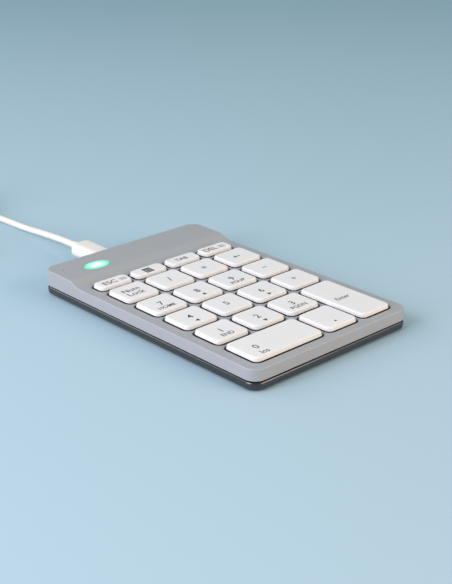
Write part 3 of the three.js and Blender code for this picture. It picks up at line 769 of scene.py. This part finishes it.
def cover_form(inset, bottom, drop):
    """The cover's outside moved in by `inset` and down by `drop`, as a closed solid."""
    step = Vector((inset, inset, 0))
    low = Vector((COVER_LOW.x, COVER_LOW.y, bottom)) + step
    high = COVER_HIGH - step - Vector((0, 0, drop))
    form = rounded_block(low, high, CASE_CORNER - inset, 14)
    slope = [slope_point(i / SLOPE_STEPS) for i in range(SLOPE_STEPS + 1)]
    for y, _ in slope:
        slice_level(form, (0, y, 0), (0, 1, 0))
    for vert in form.verts:
        if vert.co.z > bottom + 0.1 * MM:
            _, rise = min(slope, key=lambda point: abs(point[0] - vert.co.y))
            vert.co.z = high.z - HUMP_RISE + rise
    form.normal_update()
    return form


def outward_of(middle, half, corner):
    """A function that gives the outward direction at a point on a rounded rectangle."""
    def outward(point):
        x = point.x - middle.x
        y = point.y - middle.y
        core = Vector((math.copysign(half.x - corner, x), math.copysign(half.y - corner, y)))
        return (Vector((x, y)) - core).normalized().to_3d()
    return outward


def flared(solid, deck, lip, outward):
    """Widens a cutter towards its top, so that it rounds the edge that it cuts at `deck`."""
    steps = 4
    for vert in [v for v in solid.verts if v.co.z > deck]:
        vert.co += outward(vert.co) * lip
    below = [v for v in solid.verts if v.co.z < deck]
    for i in range(steps + 1):
        angle = i / steps * math.pi / 2
        level = deck - lip * (1 - math.sin(angle))
        slice_level(solid, (0, 0, level), (0, 0, 1))
        for vert in [v for v in solid.verts if abs(v.co.z - level) < 1e-8]:
            nearest = min(below, key=lambda other: (other.co.xy - vert.co.xy).length_squared)
            base = Vector((nearest.co.x, nearest.co.y, level))
            vert.co = base + outward(base) * lip * (1 - math.cos(angle))
    return solid


def key_plan(key):
    """The middle and half size, in plan, of one key's cap."""
    low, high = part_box(key)
    return (low + high) / 2, (high - low) / 2


def key_opening(key):
    middle, half = key_plan(key)
    half = half + Vector((OPENING_GAP, OPENING_GAP, 0))
    low = Vector((middle.x - half.x, middle.y - half.y, 1 * MM))
    high = Vector((middle.x + half.x, middle.y + half.y, 14 * MM))
    block = rounded_block(low, high, OPENING_CORNER, 7)
    return flared(block, DECK_HEIGHT, OPENING_LIP, outward_of(middle, half, OPENING_CORNER))


def oval(middle, radius_x, radius_y, bottom, top):
    solid = disc(0, 0, bottom, top, 1, segments=72)
    bmesh.ops.scale(solid, vec=(radius_x, radius_y, 1), verts=solid.verts)
    bmesh.ops.translate(solid, vec=(middle.x, middle.y, 0), verts=solid.verts)
    return solid


def outward_oval(middle, radius_x, radius_y):
    def outward(point):
        x = (point.x - middle.x) / radius_x ** 2
        y = (point.y - middle.y) / radius_y ** 2
        return Vector((x, y, 0)).normalized()
    return outward


def cover_finish():
    """Fine silver paint on plastic: a powdery sparkle, a soft grain and rubbed patches."""
    finish = Finish("silver_paint")
    sparkle = finish.noise(0.00018, 2)
    cloud = finish.noise(0.03, 3)
    rubbed = finish.spread(finish.noise(0.011, 5), 0.52, 0.78)
    even = finish.blend(cloud, (0.333, 0.344, 0.356), (0.351, 0.363, 0.376))
    speckled = finish.blend(0.55 * sparkle, even, (0.474, 0.492, 0.511))
    return finish.shine(
        Base_Color=speckled,
        Metallic=0.15,
        Roughness=0.52 - 0.09 * rubbed + 0.08 * sparkle,
        Normal=finish.relief(sparkle, 0.000012, finish.relief(cloud, 0.00002)),
    )


WINDOW_LOW, WINDOW_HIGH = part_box("indicator_window")
WINDOW_MIDDLE = (WINDOW_LOW + WINDOW_HIGH) / 2
WINDOW_FLANGE = 1 * MM
WINDOW_RADIUS_X = (WINDOW_HIGH.x - WINDOW_LOW.x) / 2 - WINDOW_FLANGE
WINDOW_RADIUS_Y = (WINDOW_HIGH.y - WINDOW_LOW.y) / 2 - WINDOW_FLANGE
WINDOW_GAP = 0.15 * MM
PIN = centre_of("lock_light_pipe")

cover = cover_form(0, COVER_BOTTOM, 0)
rim = [
    e for e in cover.edges
    if len(e.link_faces) == 2
    and max(f.normal.z for f in e.link_faces) > 0.5
    and abs(min(f.normal.z for f in e.link_faces)) < 0.1
]
round_off(cover, rim, COVER_EDGE, 7)
cover = combined("DIFFERENCE", cover, cover_form(WALL, 0, DECK_THICKNESS))
cover = combined("DIFFERENCE", cover, plan_block(WALL - LIP_WALL - 2 * FIT, 0, 5.6 * MM))
for screw in SCREWS[:2]:
    spot = centre_of(screw)
    boss = disc(spot.x, spot.y, 2.3 * MM, 9.6 * MM, 2.2 * MM, segments=32)
    cover = combined("UNION", cover, boss)
    way = disc(spot.x, spot.y, 0, 6 * MM, 1.1 * MM, segments=24)
    cover = combined("DIFFERENCE", cover, way)
openings = gathered(*[key_opening(key) for key in KEYS])
cover = combined("DIFFERENCE", cover, openings)
hole_x = WINDOW_RADIUS_X + WINDOW_GAP
hole_y = WINDOW_RADIUS_Y + WINDOW_GAP
window_hole = flared(
    oval(WINDOW_MIDDLE, hole_x, hole_y, 1 * MM, 14 * MM),
    COVER_HIGH.z, 0.15 * MM, outward_oval(WINDOW_MIDDLE, hole_x, hole_y),
)
pinhole = flared(
    disc(PIN.x, PIN.y, 1 * MM, 14 * MM, 0.7 * MM, segments=32),
    COVER_HIGH.z, 0.12 * MM, outward_oval(PIN, 0.7 * MM, 0.7 * MM),
)
port_half = Vector((4.725, 1.8, 0)) * MM
port = rounded_block(-port_half, port_half + Vector((0, 0, 8 * MM)), 1.7 * MM, 6)
laid_back(port, Vector((PORT_X, COVER_HIGH.y - 4 * MM, PORT_HEIGHT)))
cover = combined("DIFFERENCE", cover, gathered(window_hole, pinhole, port))
even_normals(finished("cover_shell", cover, "case", "cover", cover_finish(), "top_cover"))


# The light on the raised edge: a milky green lens set flush in an oval hole, lit from
# below, brightest in the middle.
def indicator_finish():
    finish = Finish("lit_lens")
    moved = finish.node("VectorMath", {"operation": "SUBTRACT"}, {
        0: finish.place(), 1: tuple(WINDOW_MIDDLE),
    })
    scaled = finish.node("VectorMath", {"operation": "MULTIPLY"}, {
        0: moved, 1: (1 / WINDOW_RADIUS_X, 1 / WINDOW_RADIUS_Y, 0),
    })
    away = finish.node("VectorMath", {"operation": "LENGTH"}, {0: scaled}, output="Value")
    uneven = away + 0.25 * (finish.noise(0.0025, 2) - 0.5)
    rim_share = finish.spread(uneven, 0.35, 0.95)
    glow = finish.blend(rim_share, (0.22, 0.80, 0.50), (0.01, 0.45, 0.18))
    return finish.shine(
        Base_Color=finish.blend(rim_share, (0.75, 0.95, 0.86), (0.08, 0.55, 0.28)),
        Roughness=0.22 + 0.1 * rim_share,
        Emission_Color=glow,
        Emission_Strength=1.0,
        Normal=finish.relief(finish.noise(0.0008, 2), 0.00001),
    )


lens = oval(WINDOW_MIDDLE, WINDOW_RADIUS_X, WINDOW_RADIUS_Y, WINDOW_LOW.z, WINDOW_HIGH.z)
round_level(lens, WINDOW_HIGH.z, 0.25 * MM, 4)
flange = oval(
    WINDOW_MIDDLE, WINDOW_RADIUS_X + WINDOW_FLANGE, WINDOW_RADIUS_Y + WINDOW_FLANGE,
    WINDOW_LOW.z, WINDOW_LOW.z + WINDOW_FLANGE,
)
lens = combined("UNION", lens, flange)
even_normals(
    finished("indicator_lens", lens, "case", "indicator", indicator_finish(), "indicator_window"),
)


# The keycaps: satin white mouldings with drafted sides, softly rounded top edges and a
# hollow underside round a square stem. Each one slides down with its own body.
CAP_BOTTOM = DECK_HEIGHT - 0.05 * MM
CAP_CORNER = 2.2 * MM
CAP_EDGE = 0.5 * MM
CAP_DRAFT = 0.35 * MM
CAP_WALL = 1.2 * MM
CAP_ROOF = 9.5 * MM
STEM_HALF = 2.5 * MM
SMALL_STEM_HALF = 1.1 * MM
STEM_BOTTOM = 6.3 * MM
LUG_SPREAD = 10.7 * MM
LUG_HALF_WIDTH = 0.65 * MM
LUG_HALF_DEPTH = 1.2 * MM
LUG_BOTTOM = 7.0 * MM
EYE_BOTTOM = 7.55 * MM
EYE_TOP = 8.85 * MM
EYE_HALF = 0.65 * MM
THROUGH = 1.6 * MM
WIRE_RADIUS = 0.35 * MM
SMALL_KEYS = ("key_esc", "key_calculator", "key_tab", "key_delete")


def cap_finish():
    """Satin white plastic: a fine even grain that fingers have polished in the middle."""
    finish = Finish("keycap_plastic")
    plan = finish.node("TexCoord", output="UV")
    centred = finish.node("VectorMath", {"operation": "SUBTRACT"}, {0: plan, 1: (0.5, 0.5, 0)})
    away = finish.node("VectorMath", {"operation": "LENGTH"}, {0: centred}, output="Value")
    patch = away + 0.35 * (finish.noise(0.007, 3) - 0.5)
    polished = 1 - finish.spread(patch, 0.12, 0.42)
    cloud = finish.noise(0.016, 3)
    grain = finish.noise(0.00022, 2)
    return finish.shine(
        Base_Color=finish.blend(cloud, (0.765, 0.760, 0.755), (0.795, 0.790, 0.784)),
        Roughness=0.44 - 0.10 * polished + 0.05 * cloud,
        Normal=finish.relief(grain, 0.000007),
        Subsurface_Weight=0.06,
        Subsurface_Radius=(0.002, 0.0018, 0.0016),
        Subsurface_Scale=0.3,
    )


def bar_lugs(key):
    """The two eyes under a long key that its wire bar hooks into."""
    middle, half = key_plan(key)
    lengthwise = half.x > half.y
    _, bar_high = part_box(f"{key}_bar")
    lugs = []
    for side in (-1, 1):
        along = side * LUG_SPREAD
        if lengthwise:
            spot = Vector((middle.x + along, bar_high.y - WIRE_RADIUS, 0))
            lug_half = Vector((LUG_HALF_WIDTH, LUG_HALF_DEPTH, 0))
            eye_half = Vector((THROUGH, EYE_HALF, 0))
        else:
            spot = Vector((bar_high.x - WIRE_RADIUS, middle.y + along, 0))
            lug_half = Vector((LUG_HALF_DEPTH, LUG_HALF_WIDTH, 0))
            eye_half = Vector((EYE_HALF, THROUGH, 0))
        lug_bottom = spot + Vector((0, 0, LUG_BOTTOM))
        lug_top = spot + Vector((0, 0, CAP_ROOF + 0.3 * MM))
        lug = rounded_block(lug_bottom - lug_half, lug_top + lug_half, 0.3 * MM, 3)
        eye_bottom = spot + Vector((0, 0, EYE_BOTTOM))
        eye_top = spot + Vector((0, 0, EYE_TOP))
        eye = rounded_block(eye_bottom - eye_half, eye_top + eye_half, 0.2 * MM, 2)
        lugs.append(combined("DIFFERENCE", lug, eye))
    return gathered(*lugs)


def keycap(key):
    middle, half = key_plan(key)
    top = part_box(key)[1].z
    low = Vector((middle.x - half.x, middle.y - half.y, CAP_BOTTOM))
    high = Vector((middle.x + half.x, middle.y + half.y, top))
    cap = rounded_block(low, high, CAP_CORNER, 8)
    outward = outward_of(middle, half, CAP_CORNER)
    for vert in cap.verts:
        if vert.co.z > CAP_BOTTOM + 0.1 * MM:
            vert.co -= outward(vert.co) * CAP_DRAFT
    round_level(cap, top, CAP_EDGE, 7)
    round_level(cap, CAP_BOTTOM, 0.12 * MM, 2)
    inner = Vector((CAP_WALL, CAP_WALL, 0))
    hollow = rounded_block(
        Vector((low.x, low.y, 0)) + inner, Vector((high.x, high.y, CAP_ROOF)) - inner,
        CAP_CORNER - CAP_WALL, 4,
    )
    cap = combined("DIFFERENCE", cap, hollow)
    stem_y = SMALL_STEM_HALF if key in SMALL_KEYS else STEM_HALF
    stem_half = Vector((STEM_HALF, stem_y, 0))
    stem = rounded_block(
        Vector((middle.x, middle.y, STEM_BOTTOM)) - stem_half,
        Vector((middle.x, middle.y, CAP_ROOF + 0.3 * MM)) + stem_half, 0.3 * MM, 3,
    )
    cap = combined("UNION", cap, stem)
    if f"{key}_bar" in frame["bodies"]:
        cap = combined("UNION", cap, bar_lugs(key))
    chart = cap.loops.layers.uv.new("plan")
    for face in cap.faces:
        for loop in face.loops:
            place = loop.vert.co
            loop[chart].uv = (
                (place.x - low.x) / (high.x - low.x),
                (place.y - low.y) / (high.y - low.y),
            )
    return cap


cap_plastic = cap_finish()
for key in KEYS:
    even_normals(
        finished(f"{key}_cap", keycap(key), key, "keycap", cap_plastic, key),
    )


# The legends: dark grey ink, pad-printed on the flat tops, a hair's breadth thick.
INK = 0.012 * MM
DIGIT = 4.6 * MM
SIGN = 4.4 * MM
WORD = 3.05 * MM
NAME = 4.2 * MM
ENTER = 3.35 * MM
INSERT = 3.6 * MM
BOLDER = 0.04 * MM


def ink_finish():
    finish = Finish("legend_ink")
    thin = finish.spread(finish.noise(0.0009, 4), 0.45, 0.75)
    return finish.shine(
        Base_Color=finish.blend(thin, (0.03, 0.031, 0.034), (0.06, 0.06, 0.064)),
        Roughness=0.5 + 0.15 * thin,
        Normal=finish.relief(finish.noise(0.0002, 2), 0.000004),
    )


def lettering(text, size, x, y):
    """Flat letters centred on (x, y), as a bmesh that starts at z = 0."""
    curve = bpy.data.curves.new("letters", "FONT")
    curve.body = text
    curve.size = size
    curve.align_x = "CENTER"
    curve.align_y = "CENTER"
    curve.extrude = INK / 2
    curve.offset = BOLDER
    curve.resolution_u = 4
    words = bpy.data.objects.new("letters", curve)
    bpy.context.scene.collection.objects.link(words)
    bpy.context.view_layer.update()
    shapes = bpy.data.meshes.new_from_object(words)
    letters = bmesh.new()
    letters.from_mesh(shapes)
    bpy.data.objects.remove(words)
    bpy.data.curves.remove(curve)
    bpy.data.meshes.remove(shapes)
    bmesh.ops.remove_doubles(letters, verts=letters.verts, dist=1e-7)
    bmesh.ops.translate(letters, vec=(x, y, INK / 2), verts=letters.verts)
    return letters


def arrowhead(x, y, turn, size=1.25 * MM):
    """A small solid triangle: 0 degrees points along +X, 90 degrees along +Y."""
    head = disc(0, 0, 0, INK, size, segments=3)
    spin = Matrix.Rotation(math.radians(turn - 90), 4, "Z")
    bmesh.ops.transform(head, matrix=Matrix.Translation((x, y, 0)) @ spin, verts=head.verts)
    return head


def bar_mark(x, y, width, depth):
    half = Vector((width / 2, depth / 2, 0))
    middle = Vector((x, y, 0))
    return rounded_block(middle - half, middle + half + Vector((0, 0, INK)), 0.08 * MM, 2)


def key_frame_mark(x, y):
    """A small key outline with a dot, beside the words of the two outer function keys."""
    outer = bar_mark(x, y, 2.6 * MM, 2.0 * MM)
    inner = bar_mark(x, y, 2.0 * MM, 1.4 * MM)
    bmesh.ops.scale(inner, vec=(1, 1, 3), verts=inner.verts)
    bmesh.ops.translate(inner, vec=(0, 0, -INK), verts=inner.verts)
    return gathered(combined("DIFFERENCE", outer, inner), bar_mark(x, y, 0.7 * MM, 0.5 * MM))


def calculator_mark():
    """A pocket calculator: a display above three rows of small buttons."""
    marks = [bar_mark(0, 1.55 * MM, 4.1 * MM, 1 * MM)]
    for row in range(3):
        for column in range(3):
            marks.append(
                bar_mark((column - 1) * 1.42 * MM, (0.4 - 1.15 * row) * MM, 1.25 * MM, 0.98 * MM),
            )
    mark = gathered(*marks)
    bmesh.ops.translate(mark, vec=(-0.77 * MM, -0.6 * MM, 0), verts=mark.verts)
    return mark


def digit_legend(digit, word=None, turn=None):
    marks = [lettering(digit, DIGIT, -0.75 * MM, -0.45 * MM)]
    if word:
        marks.append(lettering(word, WORD, -0.75 * MM, -4.3 * MM))
    if turn is not None:
        marks.append(arrowhead(-0.6 * MM, -4.75 * MM, turn))
    return gathered(*marks)


def backspace_mark():
    return gathered(
        arrowhead(-1.9 * MM, -0.7 * MM, 180, 1.05 * MM),
        bar_mark(-0.2 * MM, -0.7 * MM, 2.6 * MM, 0.5 * MM),
    )


def named_mark(name, x, y):
    """A word with the small key mark to its right, on the two outer function keys."""
    return gathered(
        lettering(name, NAME, x - 2.1 * MM, y), key_frame_mark(x + 4.5 * MM, y),
    )


LEGENDS = {
    "key_1": digit_legend("1", word="END"),
    "key_2": digit_legend("2", turn=-90),
    "key_3": digit_legend("3", word="PGDN"),
    "key_4": digit_legend("4", turn=180),
    "key_5": digit_legend("5"),
    "key_6": digit_legend("6", turn=0),
    "key_7": digit_legend("7", word="HOME"),
    "key_8": digit_legend("8", turn=90),
    "key_9": digit_legend("9", word="PGUP"),
    "key_0": gathered(
        lettering("0", DIGIT, -10.6 * MM, -1 * MM), lettering("Ins", INSERT, -10.7 * MM, -5.7 * MM),
    ),
    "key_decimal": bar_mark(-0.85 * MM, -4.9 * MM, 0.9 * MM, 0.9 * MM),
    "key_enter": lettering("Enter", ENTER, -1.3 * MM, -0.25 * MM),
    "key_plus": lettering("+", SIGN, -0.77 * MM, -0.3 * MM),
    "key_minus": bar_mark(-1 * MM, -0.5 * MM, 2.3 * MM, 0.5 * MM),
    "key_multiply": lettering("*", 1.3 * SIGN, -0.85 * MM, -1.9 * MM),
    "key_divide": lettering("/", 1.25 * DIGIT, -0.77 * MM, -0.9 * MM),
    "key_backspace": backspace_mark(),
    "key_num_lock": gathered(
        lettering("Num", NAME, -0.9 * MM, 0.9 * MM), lettering("Lock", NAME, -1.2 * MM, -3 * MM),
    ),
    "key_esc": named_mark("ESC", 0.1 * MM, -0.75 * MM),
    "key_calculator": calculator_mark(),
    "key_tab": lettering("TAB", 0.85 * NAME, -0.8 * MM, -0.6 * MM),
    "key_delete": named_mark("DEL", -0.75 * MM, -0.5 * MM),
}
ink = ink_finish()
for key, legend in LEGENDS.items():
    middle, _ = key_plan(key)
    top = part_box(key)[1].z
    bmesh.ops.translate(legend, vec=(middle.x, middle.y, top - INK / 3), verts=legend.verts)
    finished(f"{key}_legend", legend, key, "frame", ink)
